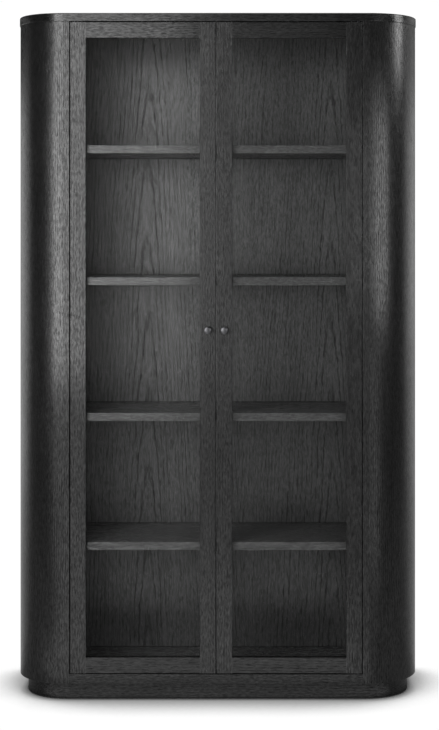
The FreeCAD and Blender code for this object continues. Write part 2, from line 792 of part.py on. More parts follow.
def plinth():
    """Recessed base: a bent band with round front corners, a back board, fixing blocks and glides."""
    band_glides, board_glides = glide_places()
    nail_hole = size.glide_nail_radius + size.pilot_fit
    band = body("plinth_band", size.glide_height)
    plan = sketch_on(band, "XY")
    outer = front_rounded(plinth_half, plinth_radius, size.plinth_inset, plinth_rear)
    inner = front_rounded(plinth_half, plinth_radius, size.plinth_inset, plinth_rear, size.plinth_thickness)
    outline(plan, band_corners(outer, inner))
    pad(band, plan, board_height)
    drill(band, "XY", NIL, band_glides, nail_hole, size.glide_nail_length, backwards=True)

    board = body("plinth_back_board", size.glide_height)
    plan = sketch_on(board, "XY")
    wide = plinth_half - size.plinth_thickness - size.glue_line
    rectangle(plan, -wide, plinth_rear - size.plinth_thickness, wide * 2, size.plinth_thickness)
    pad(board, plan, board_height)
    drill(board, "XY", NIL, board_glides, nail_hole, size.glide_nail_length, backwards=True)

    blocks = body("plinth_fixing_blocks", size.plinth_height - size.plinth_thickness)
    blocks.AllowCompound = True
    plan = sketch_on(blocks, "XY")
    side = size.block_side
    for x, y in block_places():
        rectangle(plan, x - side / 2, y - side / 2, side, side)
    circles(plan, block_places(), pan_hole_radius)
    pad(blocks, plan, size.plinth_thickness)

    screw = pan_screw(size.pan_length)
    under_block = size.plinth_height - size.plinth_thickness
    solids = [placed(screw, x, y, under_block, towards=(0, 0, -1)) for x, y in block_places()]
    group("plinth_screws", solids)
    glide = floor_glide()
    group("floor_glides", [placed(glide, x, y, NIL) for x, y in band_glides + board_glides])


def floor_glide():
    """Nylon disc with a nail that is driven into the plinth."""
    high = size.glide_height
    wide = size.glide_radius
    nail = size.glide_nail_radius
    top = high + size.glide_nail_length - nail / 2
    soft = high / 3
    return turned(
        (
            (NIL, NIL),
            (wide - soft, NIL),
            (wide, soft),
            (wide, high),
            (nail, high),
            (nail, top - nail),
            (NIL, top),
        )
    )


def band_corners(outer, inner):
    """Join an outer and an inner round-fronted outline into one U-shaped outline."""
    back = []
    for index in range(len(inner) - 1, -1, -1):
        point = inner[index][:2]
        leads_from = inner[index - 1] if index else ()
        back.append(point + (leads_from[2],) if len(leads_from) == 3 else point)
    return tuple(outer) + tuple(back)


def shelf(name, top):
    """Full-width loose shelf with eased front edges."""
    made = body(f"{name}_shelf", top - size.shelf_thickness)
    plan = sketch_on(made, "XY")
    half = opening_half - size.shelf_clearance
    rectangle(plan, -half, size.shelf_setback, half * 2, shelf_depth)
    pad(made, plan, size.shelf_thickness)
    ease(
        made,
        size.edge_round,
        lambda edge: runs_along(edge, "X") and flat_at(edge, "Y", size.shelf_setback),
    )


def shelf_pins():
    """Steel pins, four under each shelf, half in the panel and half out."""
    reach = size.pin_reach
    thin = size.pin_radius
    thick = size.pin_head_radius
    soft = thin / SOFT_END
    pin = turned(
        (
            (NIL, NIL),
            (thick - soft, NIL),
            (thick, soft),
            (thick, reach),
            (thin, reach),
            (thin, reach * 2 - soft),
            (thin - soft, reach * 2),
            (NIL, reach * 2),
        )
    )
    solids = []
    for side, _ in SIDES:
        x = side * (opening_half - size.pin_reach)
        for top in shelf_tops:
            z = top - size.shelf_thickness - size.pin_head_radius
            solids += [placed(pin, x, y, z, towards=(side, 0, 0)) for y in pin_rows]
    group("shelf_pins", solids)


def hinge_pins():
    """Stepped pivot pins. The collar fills the gap between the case plate and the door leaf."""
    radius = size.pivot_radius
    collar = size.door_end_gap - size.pivot_fit
    tip = radius / 3
    end = size.door_end_gap + size.pivot_reach
    pin = turned(
        (
            (NIL, -size.pivot_tail),
            (radius, -size.pivot_tail),
            (radius, NIL),
            (size.collar_radius, NIL),
            (size.collar_radius, collar),
            (radius, collar),
            (radius, end - tip),
            (radius - tip, end),
            (NIL, end),
        )
    )
    rail_top = size.plinth_height + size.rail_height
    solids = []
    for side, _ in SIDES:
        solids.append(placed(pin, side * pivot_x, size.pivot_setback, rail_top))
        solids.append(placed(pin, side * pivot_x, size.pivot_setback, cap_underside, towards=(0, 0, -1)))
    group("hinge_pins", solids)


def case_hinge_plates():
    """Plates in the rail and in the cap that hold the pivot pins, and their screws."""
    bore = size.pivot_radius + size.pivot_press_fit
    lower = size.plinth_height + size.rail_height
    screw = flat_screw()
    solids = []
    for side, name in SIDES:
        leaf(f"{name}_lower_case_plate", side, lower - size.leaf_thickness, bore, face_up=True)
        leaf(f"{name}_upper_case_plate", side, cap_underside, bore, face_up=False)
        for x, y in leaf_screw_places(side):
            solids.append(placed(screw, x, y, lower))
            solids.append(placed(screw, x, y, cap_underside, towards=(0, 0, -1)))
    group("case_plate_screws", solids)


def catch_y():
    """Middle of a magnetic catch, behind the closed door's strike plate."""
    return size.door_thickness + size.strike_thickness + size.air_gap + size.catch_depth / 2


def catch_screw_xs():
    half = size.catch_screw_spacing / 2
    return [knob_x - half, knob_x + half]


def catches():
    """Magnetic catches under the cap, behind the meeting stiles."""
    solids = []
    for side, name in SIDES:
        made = body(f"{name}_magnetic_catch", cap_underside - size.catch_height)
        plan = sketch_on(made, "XY")
        near_y = catch_y() - size.catch_depth / 2
        rectangle(plan, side * knob_x - size.catch_length / 2, near_y, size.catch_length, size.catch_depth)
        circles(plan, [(side * x, catch_y()) for x in catch_screw_xs()], pan_hole_radius)
        pad(made, plan, size.catch_height)
        ease(made, size.edge_round, lambda edge: runs_along(edge, "Z") and not hasattr(edge.Curve, "Radius"))
        screw = pan_screw(size.catch_screw_length)
        underside = cap_underside - size.catch_height
        for x in catch_screw_xs():
            solids.append(placed(screw, side * x, catch_y(), underside, towards=(0, 0, -1)))
    group("catch_screws", solids)


def at_rear(edge):
    """Whether the edge lies in the rear face of a door frame."""
    return flat_at(edge, "Y", size.door_thickness)


def stile(label, side, edge, pane, hinged):
    """Door stile with its glass rebate and mortises, from its outer edge to the edge at the pane. The easing of
    the edge at the pane stops where the rails butt against it, so that the joints close flush."""
    made = body(label, door_bottom)
    away = 1 if edge.value > pane.value else -1
    stop = pane + size.rebate_width * away
    plan = sketch_on(made, "XY")
    outline(
        plan,
        (
            (side * edge, NIL),
            (side * pane, NIL),
            (side * pane, size.lip_depth),
            (side * stop, size.lip_depth),
            (side * stop, size.door_thickness),
            (side * edge, size.door_thickness),
        ),
    )
    pad(made, plan, door_height)
    ease(
        made,
        size.edge_round,
        lambda line: runs_along(line, "Z")
        and (flat_at(line, "Y", NIL) or (at_rear(line) and flat_at(line, "X", side * edge))),
    )
    for joint in (NIL, door_height - size.stile_width):
        square = sketch_on(made, "XY", joint)
        inner_side = side * pane if side * away > 0 else side * pane - size.edge_round
        rectangle(square, inner_side, NIL, size.edge_round, size.edge_round)
        pad(made, square, size.stile_width)
    mortise = sketch_on(made, "YZ", side * stop)
    play = size.glue_line
    low = (size.stile_width - size.rebate_width - size.tenon_height) / 2
    for bottom in (low, door_height - low - size.tenon_height):
        rectangle(
            mortise,
            size.tenon_setback - play,
            bottom - play,
            size.tenon_thickness + play * 2,
            size.tenon_height + play * 2,
        )
    pocket(made, mortise, size.tenon_length + size.edge_round, backwards=side * away > 0)
    if hinged:
        plate_seat(made, side, NIL, downwards=False)
        plate_seat(made, side, door_height, downwards=True)
    else:
        knob_hole = [(side * knob_x, size.knob_height - door_bottom)]
        drill(made, "XZ", NIL, knob_hole, size.knob_bolt_radius + size.pilot_fit, size.door_thickness)
        head_room = size.knob_bolt_head_radius + size.pilot_fit
        rear = -size.door_thickness
        drill(made, "XZ", rear, knob_hole, head_room, size.knob_bolt_sink, backwards=True)
        drill(made, "XZ", rear, strike_screw_places(side), pilot_radius, size.screw_length, backwards=True)


def rail(label, side, at_top):
    """Door rail between the stiles: front lip, thicker rear part that fills the stile rebates, and tenons."""
    bottom = door_bottom + (door_height - size.stile_width if at_top else NIL)
    made = body(label, bottom)
    core = size.stile_width - size.rebate_width
    core_low = size.rebate_width if at_top else NIL
    tenon_low = core_low + (core - size.tenon_height) / 2
    outer_edge = size.stile_width if at_top else NIL
    sections = (
        (NIL, size.lip_depth, NIL, size.stile_width, pane_width),
        (
            size.lip_depth,
            size.door_thickness - size.lip_depth,
            core_low,
            core,
            pane_width + size.rebate_width * 2,
        ),
        (
            size.tenon_setback,
            size.tenon_thickness,
            tenon_low,
            size.tenon_height,
            pane_width + size.rebate_width * 2 + size.tenon_length * 2,
        ),
    )
    for y, thick, z, high, long in sections:
        section = sketch_on(made, "YZ", side * pane_middle)
        rectangle(section, y, z, thick, high)
        pad(made, section, long, midplane=True)
    ease(
        made,
        size.edge_round,
        lambda line: runs_along(line, "X")
        and (flat_at(line, "Y", NIL) or (at_rear(line) and flat_at(line, "Z", outer_edge))),
    )


def glazing(side, name):
    """Glass pane in the rebate, and the four beads that hold it from behind."""
    pane = doc.addObject("Part::Box", f"{name}_door_glass")
    pane.Label = f"{name}_door_glass"
    overlap = size.rebate_width - size.glass_play
    pane_height = door_height - size.stile_width * 2
    middle = side * pane_middle
    bind(
        pane,
        Length=pane_width + overlap * 2,
        Width=size.glass_thickness,
        Height=pane_height + overlap * 2,
        Placement__Base__x=middle - pane_width / 2 - overlap,
        Placement__Base__y=front + size.lip_depth,
        Placement__Base__z=door_bottom + size.stile_width - overlap,
    )
    sub_parts.append(pane)

    wide = size.rebate_width
    left = middle - pane_width / 2
    right = middle + pane_width / 2
    low = door_bottom + size.stile_width
    high = low + pane_height
    thick = size.door_thickness - size.lip_depth - size.glass_thickness
    strips = (
        ("left", left - wide, low - wide, wide, pane_height + wide * 2),
        ("right", right, low - wide, wide, pane_height + wide * 2),
        ("lower", left, low - wide, pane_width, wide),
        ("upper", left, high, pane_width, wide),
    )
    boxes = []
    for where, x, z, long, tall in strips:
        strip = doc.addObject("Part::Box", f"{name}_door_{where}_bead")
        bind(
            strip,
            Length=long,
            Width=thick,
            Height=tall,
            Placement__Base__x=x,
            Placement__Base__y=front + size.lip_depth + size.glass_thickness,
            Placement__Base__z=z,
        )
        boxes.append(strip)
    beads = doc.addObject("Part::Compound", f"{name}_door_glass_beads")
    beads.Label = f"{name}_door_glass_beads"
    beads.Links = boxes
    sub_parts.append(beads)


def knob(side, name):
    """Turned round knob with a domed face and a waisted neck, and the machine screw that holds it."""
    made = body(f"{name}_door_knob", size.knob_height)
    profile = sketch_on(made, "YZ", side * knob_x)
    tip = -size.knob_projection
    head_back = tip + size.knob_thickness
    thread = size.knob_bolt_radius + size.pilot_fit
    crown = size.knob_radius
    dome_radius = (crown * crown + size.knob_dome * size.knob_dome) / (size.knob_dome * 2)
    outline(
        profile,
        (
            (tip, NIL, (tip + dome_radius, NIL)),
            (tip + size.knob_dome, crown),
            (head_back, crown),
            (head_back, size.knob_neck_radius),
            (-size.knob_foot_height, size.knob_neck_radius),
            (-size.knob_foot_height, size.knob_foot_radius),
            (NIL, size.knob_foot_radius),
            (NIL, thread),
            (-size.knob_bore_depth, thread),
            (-size.knob_bore_depth, NIL),
        ),
    )
    turn = made.newObject("PartDesign::Revolution", "Turned")
    turn.Profile = profile
    turn.ReferenceAxis = (profile, ["H_Axis"])
    turn.Angle = 360
    doc.recompute()
    ease(made, size.knob_round, lambda edge: is_round(edge, crown))
    ease(made, size.edge_round, lambda edge: is_round(edge, size.knob_neck_radius))

    radius = size.knob_bolt_radius
    head = size.knob_bolt_head_radius
    high = size.knob_bolt_head_height
    end = size.knob_bolt_sink - size.door_thickness - size.knob_bolt_grip
    bolt = turned(((NIL, end), (radius, end), (radius, NIL), (head, NIL), (head, high), (NIL, high)))
    bolt = bolt.cut(cross_recess(head, high))
    seat_y = size.door_thickness - size.knob_bolt_sink
    solid = placed(bolt, side * knob_x, seat_y, size.knob_height, towards=(0, 1, 0))
    group(f"{name}_door_knob_screw", [solid])


def strike_top():
    """Height of a strike plate's top edge above the door's underside."""
    return door_height - size.door_end_gap


def strike_screw_places(side):
    z = strike_top() - size.strike_height / 2
    half = size.strike_screw_spacing / 2
    return [(side * (knob_x - half), z), (side * (knob_x + half), z)]


def strike(side, name):
    """Steel strike plate on the back of the meeting stile."""
    made = body(f"{name}_door_strike_plate", door_bottom)
    face = sketch_on(made, "XZ", -size.door_thickness)
    corner = side * knob_x - size.strike_length / 2
    rectangle(face, corner, strike_top() - size.strike_height, size.strike_length, size.strike_height)
    circles(face, strike_screw_places(side), pilot_radius)
    pad(made, face, size.strike_thickness, backwards=True)
    countersink(made, "Y", size.door_thickness + size.strike_thickness)


def door(side, name):
    """One glazed door: frame, glass, hinge leaves, knob and strike plate."""
    stile(f"{name}_door_outer_stile", side, door_outer, pane_outer, hinged=True)
    stile(f"{name}_door_meeting_stile", side, door_inner, pane_inner, hinged=False)
    rail(f"{name}_door_top_rail", side, at_top=True)
    rail(f"{name}_door_bottom_rail", side, at_top=False)
    glazing(side, name)
    knob(side, name)
    strike(side, name)
    bore = size.pivot_radius + size.pivot_fit
    door_top = door_bottom + door_height
    leaf(f"{name}_door_lower_leaf", side, door_bottom, bore, face_up=False)
    leaf(f"{name}_door_upper_leaf", side, door_top - size.leaf_thickness, bore, face_up=True)
    screw = flat_screw()
    solids = []
    for x, y in leaf_screw_places(side):
        solids.append(placed(screw, x, y, door_bottom, towards=(0, 0, -1)))
        solids.append(placed(screw, x, y, door_top))
    rear = size.door_thickness + size.strike_thickness
    for x, z in strike_screw_places(side):
        solids.append(placed(screw, x, rear, door_bottom + z, towards=(0, 1, 0)))
    group(f"{name}_door_screws", solids)


def check(thing):
    """Stop if an object of the document is broken."""
    if "Invalid" in thing.State or "Error" in thing.State:
        raise RuntimeError(f"{thing.Label} is in state {thing.State}")


top_cap()
for shell_side, shell_name in SIDES:
    side_shell(shell_side, shell_name)
    inner_panel(shell_side, shell_name)
    formers(shell_side, shell_name)
floor_panel()
front_rail()
back_panel()
anchor_rail()
back_screws()
dowels()
plinth()
for shelf_name, shelf_top in zip(("bottom", "lower_middle", "upper_middle", "top"), shelf_tops):
    shelf(shelf_name, shelf_top)
shelf_pins()
case_hinge_plates()
hinge_pins()
catches()
for door_side, door_name in SIDES:
    door(door_side, door_name)

doc.recompute()
for thing in doc.Objects:
    check(thing)
os.makedirs("parts", exist_ok=True)
for sub_part in sub_parts:
    shape = sub_part.Shape
    if shape.isNull() or not shape.isValid():
        raise RuntimeError(f"{sub_part.Label} has no valid shape")
for sub_part in sub_parts:
    sub_part.Shape.exportStep(f"parts/{sub_part.Label}.step")
print(len(sub_parts), "sub-parts")
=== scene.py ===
import json
import math

import bpy
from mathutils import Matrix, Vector


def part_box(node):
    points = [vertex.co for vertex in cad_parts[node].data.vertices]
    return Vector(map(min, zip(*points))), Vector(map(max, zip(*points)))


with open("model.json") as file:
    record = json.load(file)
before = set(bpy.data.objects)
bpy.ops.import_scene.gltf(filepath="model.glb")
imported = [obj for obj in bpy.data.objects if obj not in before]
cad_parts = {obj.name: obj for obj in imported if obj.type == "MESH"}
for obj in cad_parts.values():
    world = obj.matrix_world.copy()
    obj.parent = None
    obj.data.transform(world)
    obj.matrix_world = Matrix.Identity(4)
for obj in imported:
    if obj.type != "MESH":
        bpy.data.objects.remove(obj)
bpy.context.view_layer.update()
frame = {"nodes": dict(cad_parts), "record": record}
nodes = frame["nodes"]

# Everything is in metres: X to the right, Y to the back, Z up, with the floor at Z = 0.
front_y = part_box("left_side_shell")[0].y

WHITE = (1, 1, 1, 1)


class Graph:
    """A node tree that is built by short calls. Sockets and plain values can be mixed as inputs."""

    def __init__(self, tree):
        self.tree = tree
        tree.nodes.clear()

    def add(self, kind, inputs=None, **settings):
        made = self.tree.nodes.new(kind)
        for name, value in settings.items():
            setattr(made, name, value)
        for name, value in (inputs or {}).items():
            socket = made.inputs[name]
            if isinstance(value, bpy.types.NodeSocket):
                self.tree.links.new(value, socket)
            else:
                socket.default_value = value
        return made

    def math(self, operation, *values, clamp=False):
        numbered = dict(enumerate(values))
        return self.add("ShaderNodeMath", numbered, operation=operation, use_clamp=clamp).outputs[0]

    def plus(self, total, *others):
        for other in others:
            total = self.math("ADD", total, other)
        return total

    def minus(self, total, *others):
        for other in others:
            total = self.math("SUBTRACT", total, other)
        return total

    def times(self, product, *others):
        for other in others:
            product = self.math("MULTIPLY", product, other)
        return product

    def join(self, x, y, z):
        return self.add("ShaderNodeCombineXYZ", {"X": x, "Y": y, "Z": z}).outputs[0]

    def split(self, vector):
        return self.add("ShaderNodeSeparateXYZ", {"Vector": vector}).outputs

    def spot(self):
        """The point being shaded, in metres in the frame."""
        return self.add("ShaderNodeTexCoord").outputs["Object"]

    def noise(self, vector, scale=1.0, detail=2.0, roughness=0.5):
        inputs = {"Vector": vector, "Scale": scale, "Detail": detail, "Roughness": roughness}
        return self.add("ShaderNodeTexNoise", inputs, noise_dimensions="3D").outputs["Fac"]

    def smooth(self, value, low, high, to_low=0.0, to_high=1.0):
        inputs = {"Value": value, "From Min": low, "From Max": high, "To Min": to_low, "To Max": to_high}
        return self.add("ShaderNodeMapRange", inputs, interpolation_type="SMOOTHSTEP").outputs[0]

    def blend(self, share, first, second):
        return self.add("ShaderNodeMix", {0: share, 2: first, 3: second}, data_type="FLOAT").outputs[0]

    def colour(self, value, shade=(1.0, 1.0, 1.0)):
        """The shade, made lighter or darker by the value."""
        parts = [value if part == 1.0 else self.times(value, part) for part in shade]
        return self.add("ShaderNodeCombineColor", dict(zip(("Red", "Green", "Blue"), parts))).outputs[0]

    def bump(self, height, strength, distance):
        inputs = {"Strength": strength, "Distance": distance, "Height": height}
        return self.add("ShaderNodeBump", inputs).outputs[0]

    def openness(self, distance, samples):
        """1 in the open, towards 0 where other surfaces stand closer than the distance."""
        return self.add("ShaderNodeAmbientOcclusion", {"Distance": distance}, samples=samples).outputs["AO"]

    def edges(self, radius):
        """1 along sharp and eased edges, 0 on flat faces."""
        wide = self.add("ShaderNodeBevel", {"Radius": radius}, samples=4).outputs[0]
        true = self.add("ShaderNodeNewGeometry").outputs["Normal"]
        dot = self.add("ShaderNodeVectorMath", {0: wide, 1: true}, operation="DOT_PRODUCT").outputs["Value"]
        return self.smooth(dot, 0.995, 0.80)

    def principled(self, colour, rough, normal, **others):
        """End the tree in one principled surface."""
        inputs = {"Base Color": colour, "Roughness": rough, "Normal": normal}
        inputs.update((name.replace("_", " "), value) for name, value in others.items())
        self.surface(self.add("ShaderNodeBsdfPrincipled", inputs).outputs[0])

    def surface(self, shader):
        self.add("ShaderNodeOutputMaterial", {"Surface": shader})


def new_material(name):
    made = bpy.data.materials.new(name)
    made.use_nodes = True
    return made, Graph(made.node_tree)


# Noise in wood, as cycles per metre across the grain and along it.
SWAY = (5.0, 1.1)
RIPPLED_ZONES = (8.0, 1.3)
RIPPLES = (24.0, 30.0)
RING_ZONES = (18.0, 1.4)
RING_BREAKS = (160.0, 42.0)
PORES = (700.0, 42.0)
FLECKS = (250.0, 70.0)
FIBRES = (330.0, 11.0)
STREAKS = (95.0, 3.0)
MOTTLE = (22.0, 9.0)

# Flat-cut veneer comes in leaves of this width, each the mirror image of the last, with a crown of arches in
# its middle. The pith's distance rounds the arches' tips, and the slope makes them long.
LEAF_WIDTH = 0.6
PITH_SQUARED = 0.0008
ARCH_SLOPE = 0.05

# Width of the lighter line along an edge, which is wear and also a painted highlight, and how near a
# neighbour has to be for the painted shade in the narrow gaps.
WORN_AND_HIGHLIT_EDGE_WIDTH = 0.0016
GAP_DEPTH = 0.005

# Black stain lets a little of the wood's own colour through. The pieces inside the cabinet are made lighter
# than the outside ones, which is painted light standing in for the fill light inside the cabinet.
OUTSIDE_STAIN = 0.007
PANEL_STAIN_AND_FILL_LIGHT = 0.06
SHELF_STAIN_AND_FILL_LIGHT = 0.053
BACK_STAIN_AND_FILL_LIGHT = 0.058


class Board:
    """Texture space of one board: across, into and along its grain. The shift gives each board its own
    figure. The rings cross the thickness at a slant, the lean, so that every long face shows lines along the
    grain."""

    def __init__(self, graph, grain, shift, lean=0.0):
        x, y, z = graph.split(graph.spot())
        across, into, along = {"Z": (x, y, z), "X": (z, y, x)}[grain]
        self.graph = graph
        self.into = graph.plus(into, shift * 0.11)
        self.along = graph.plus(along, shift * 1.93)
        self.across = graph.plus(across, shift * 0.37)
        if lean:
            self.across = graph.plus(self.across, graph.times(self.into, lean))

    def noise(self, cycles, detail, roughness=0.5, across=None):
        fine, coarse = cycles
        graph = self.graph
        place = graph.join(
            graph.times(self.across if across is None else across, fine),
            graph.times(self.into, fine),
            graph.times(self.along, coarse),
        )
        return graph.noise(place, 1.0, detail, roughness)

    def from_crown(self, across):
        """Distance from the middle of the nearest veneer leaf, with a sign."""
        folded = self.graph.math("PINGPONG", across, LEAF_WIDTH)
        return self.graph.minus(folded, LEAF_WIDTH / 2)


def bent_grain(board, crown):
    """Distance across the grain, made wavy: slow sway everywhere, and short ripples in some zones."""
    graph = board.graph
    sway = graph.times(graph.minus(board.noise(SWAY, 3.0), 0.5), 0.060)
    rippled = graph.math("MAXIMUM", graph.smooth(board.noise(RIPPLED_ZONES, 1.0), 0.46, 0.64), crown)
    reach = graph.plus(0.002, graph.times(rippled, 0.009))
    ripple = graph.times(graph.minus(board.noise(RIPPLES, 1.0), 0.5), reach)
    return graph.plus(board.across, sway, ripple)


def ring_rows(board, bent, crown, cathedral, rings):
    """Early wood, and the rows of open pores in it. The growth rings are straight lines on a rift-cut board,
    and nested arches on a flat-cut one."""
    graph = board.graph
    centred = board.from_crown(bent)
    pith = graph.plus(graph.times(centred, centred), PITH_SQUARED)
    arches = graph.plus(graph.math("SQRT", pith), graph.times(board.along, ARCH_SLOPE))
    ring = graph.math("FRACT", graph.times(graph.blend(cathedral, bent, arches), rings))
    early = graph.times(graph.smooth(ring, 0.0, 0.08), graph.smooth(ring, 0.36, 0.20))

    zones = graph.smooth(board.noise(RING_ZONES, 2.0, across=bent), 0.47, 0.63)
    zones = graph.math("MAXIMUM", graph.times(zones, 1.0 - 0.25 * cathedral), crown)
    breaks = graph.smooth(board.noise(RING_BREAKS, 1.0, across=bent), 0.36, 0.56)
    tip = graph.smooth(graph.math("ABSOLUTE", centred), 0.002, 0.018, 1.0 - 0.6 * cathedral, 1.0)
    rows = graph.times(early, graph.plus(0.10, graph.times(zones, 0.90)))
    rows = graph.times(rows, graph.plus(0.3, graph.times(breaks, 0.7)), tip)
    return early, rows


def oak(name, grain="Z", shift=0.0, stain=OUTSIDE_STAIN, cathedral=0.0, flecks=0.34, figure=0.20,
        rings=125.0, matt=0.0, lean=1.0, top_lightening=0.0):
    """Black-stained open-grain oak. The stain is nearly black, so the figure shows mostly in the gloss:
    smooth late wood shines, and rows of open pores and early wood stay dull. Colour and gloss carry painted
    shade in narrow gaps, and edges are lighter, which is wear and also a painted highlight."""
    made, graph = new_material(name)
    board = Board(graph, grain, shift, lean)
    leaf = graph.math("ABSOLUTE", board.from_crown(board.across))
    crown = graph.times(graph.smooth(leaf, 0.085, 0.025), cathedral)
    bent = bent_grain(board, crown)
    early, rows = ring_rows(board, bent, crown, cathedral, rings)

    # Pores are short dull dashes, dense in the early wood. Flecks are short strokes, fibres fine lines and
    # streaks broader lines, all both brighter and duller than the rest.
    pores = graph.smooth(graph.minus(board.noise(PORES, 1.0), graph.blend(early, 0.60, 0.50)), 0.0, 0.08)
    fleck = board.noise(FLECKS, 2.0, 0.6)
    fibre = board.noise(FIBRES, 3.0, 0.6)
    streak = board.noise(STREAKS, 2.0, 0.6, across=bent)
    mottle = board.noise(MOTTLE, 3.0)

    # Painted shade: where other surfaces stand close, as in the narrow gaps around the doors, the colour and
    # the gloss are darkened to stand in for the shade there.
    painted_gap_shade = graph.smooth(graph.openness(GAP_DEPTH, samples=4), 0.45, 0.90)
    worn_and_highlit_edge = graph.times(graph.edges(WORN_AND_HIGHLIT_EDGE_WIDTH), painted_gap_shade)
    sheen_and_gap_shade = graph.times(
        graph.smooth(fibre, 0.3, 0.7, 0.92, 1.08),
        graph.smooth(fleck, 0.3, 0.7, 1.0 - flecks, 1.0 + flecks),
        graph.smooth(streak, 0.28, 0.72, 0.94, 1.06),
        graph.minus(1.0 + 0.12 * figure, graph.times(rows, figure)),
        graph.plus(0.88, graph.times(mottle, 0.24)),
        graph.minus(1.05, graph.times(pores, 0.45)),
        painted_gap_shade,
    )
    # Edges are made lighter in colour: wear, and also a painted highlight standing in for the light caught by
    # the eased edges.
    tint = graph.plus(graph.times(sheen_and_gap_shade, stain), graph.times(worn_and_highlit_edge, 0.03))
    # Upward faces are made lighter in patches.
    if top_lightening:
        upward = graph.split(graph.add("ShaderNodeNewGeometry").outputs["Normal"])[2]
        lying = graph.times(graph.smooth(upward, 0.7, 0.95), graph.smooth(mottle, 0.2, 0.8, 0.7, 1.0))
        tint = graph.plus(tint, graph.times(sheen_and_gap_shade, lying, top_lightening))

    rough = graph.plus(0.215 + matt, graph.times(pores, 0.12), graph.times(rows, 0.06))
    rough = graph.minus(graph.plus(rough, graph.times(mottle, 0.05)), graph.times(worn_and_highlit_edge, 0.04))
    height = graph.plus(graph.times(fibre, 0.15), graph.times(fleck, 0.35))
    height = graph.minus(height, graph.times(pores, 0.35), graph.times(rows, 0.30))
    # Fibres spread a highlight across the grain more than along it.
    fibre_axis = graph.add("ShaderNodeTangent", direction_type="RADIAL", axis=grain).outputs[0]
    graph.principled(
        graph.colour(tint),
        rough,
        graph.bump(height, 0.5, 0.00025),
        Specular_IOR_Level=graph.math("MULTIPLY", sheen_and_gap_shade, 0.5, clamp=True),
        Anisotropic=0.6,
        Tangent=fibre_axis,
    )
    return made


def clear_glass():
    """Clear float glass: nearly invisible from the front, with a reflection that grows at a slant."""
    made, graph = new_material("clear_glass")
    through = graph.add("ShaderNodeBsdfTransparent", {"Color": (0.975, 0.977, 0.976, 1)}).outputs[0]
    shine = graph.add("ShaderNodeBsdfGlossy", {"Color": WHITE, "Roughness": 0.04}).outputs[0]
    facing = graph.add("ShaderNodeLayerWeight", {"Blend": 0.5}).outputs["Facing"]
    haze = graph.smooth(graph.noise(graph.spot(), 7.0, 4.0), 0.3, 0.8, 0.8, 1.0)
    grazing = graph.math("MULTIPLY_ADD", graph.math("POWER", facing, 5.0), 0.75, 0.0015)
    share = graph.times(grazing, haze)
    graph.surface(graph.add("ShaderNodeMixShader", {0: share, 1: through, 2: shine}).outputs[0])
    return made


def metal(name, shade, roughness, scale, grain=(1.0, 1.0, 1.0)):
    """Metal with a brushed or cast texture, a little uneven in colour and gloss."""
    made, graph = new_material(name)
    spot = graph.spot()
    stretched = graph.join(*(graph.times(part, factor) for part, factor in zip(graph.split(spot), grain)))
    brushed = graph.noise(stretched, scale, 3.0, 0.6)
    cloudy = graph.noise(spot, 60.0, 2.0)
    value = graph.plus(0.75, graph.times(cloudy, 0.5), graph.times(graph.edges(0.0006), 0.6))
    rough = graph.plus(roughness - 0.06, graph.times(brushed, 0.16))
    graph.principled(graph.colour(value, shade), rough, graph.bump(brushed, 0.25, 0.00005), Metallic=1.0)
    return made


def plastic(name, shade, roughness):
    """Moulded plastic with a fine spark-eroded texture."""
    made, graph = new_material(name)
    spot = graph.spot()
    grainy = graph.noise(spot, 1500.0, 2.0)
    cloudy = graph.noise(spot, 90.0, 2.0)
    value = graph.times(graph.plus(0.8, graph.times(cloudy, 0.4)), shade)
    rough = graph.plus(roughness, graph.times(cloudy, 0.1))
    graph.principled(graph.colour(value), rough, graph.bump(grainy, 0.3, 0.00005))
    return made


def raw_wood(name, shade, grain="Z"):
    """Bare wood of the hidden pieces, with fine fibres and slow bands."""
    made, graph = new_material(name)
    board = Board(graph, grain, shift=0.3)
    fibre = board.noise((220.0, 9.0), 3.0, 0.6)
    band = board.noise((45.0, 9.0), 2.0)
    value = graph.plus(0.62, graph.times(fibre, 0.45))
    value = graph.times(value, graph.plus(0.8, graph.times(band, 0.4)))
    rough = graph.plus(0.6, graph.times(band, 0.15))
    graph.principled(graph.colour(value, shade), rough, graph.bump(fibre, 0.4, 0.0002))
    return made


def dress(name, material):
    """Give a CAD node its material."""
    slots = nodes[name].data.materials
    slots.clear()
    slots.append(material)


# Wood pieces. The shifts only keep any two boards from sharing a figure.
# The inner panels are lighter in colour than the shells: painted light for the fill light inside the cabinet.
for index, side in enumerate(("left", "right")):
    lean = -1.0 if side == "left" else 1.0
    for place, (piece, stain) in enumerate((("side_shell", OUTSIDE_STAIN), ("inner_panel", PANEL_STAIN_AND_FILL_LIGHT))):
        name = f"{side}_{piece}"
        shift = 1.7 + (2 * place + index) * 2.3
        dress(name, oak(f"oak_{name}", "Z", shift, stain, figure=0.5, lean=lean))
    for place, stile in enumerate(("outer", "meeting")):
        name = f"{side}_door_{stile}_stile"
        dress(name, oak(f"oak_{name}", "Z", shift=11.0 + index * 3.1 + place * 1.3))
    for place, (rail, flecks) in enumerate((("top", 0.34), ("bottom", 0.20))):
        name = f"{side}_door_{rail}_rail"
        dress(name, oak(f"oak_{name}", "X", shift=21.0 + index * 3.7 + place * 1.9, flecks=flecks))
    dress(f"{side}_door_glass_beads", oak(f"oak_{side}_beads", "Z", shift=31.0 + index))

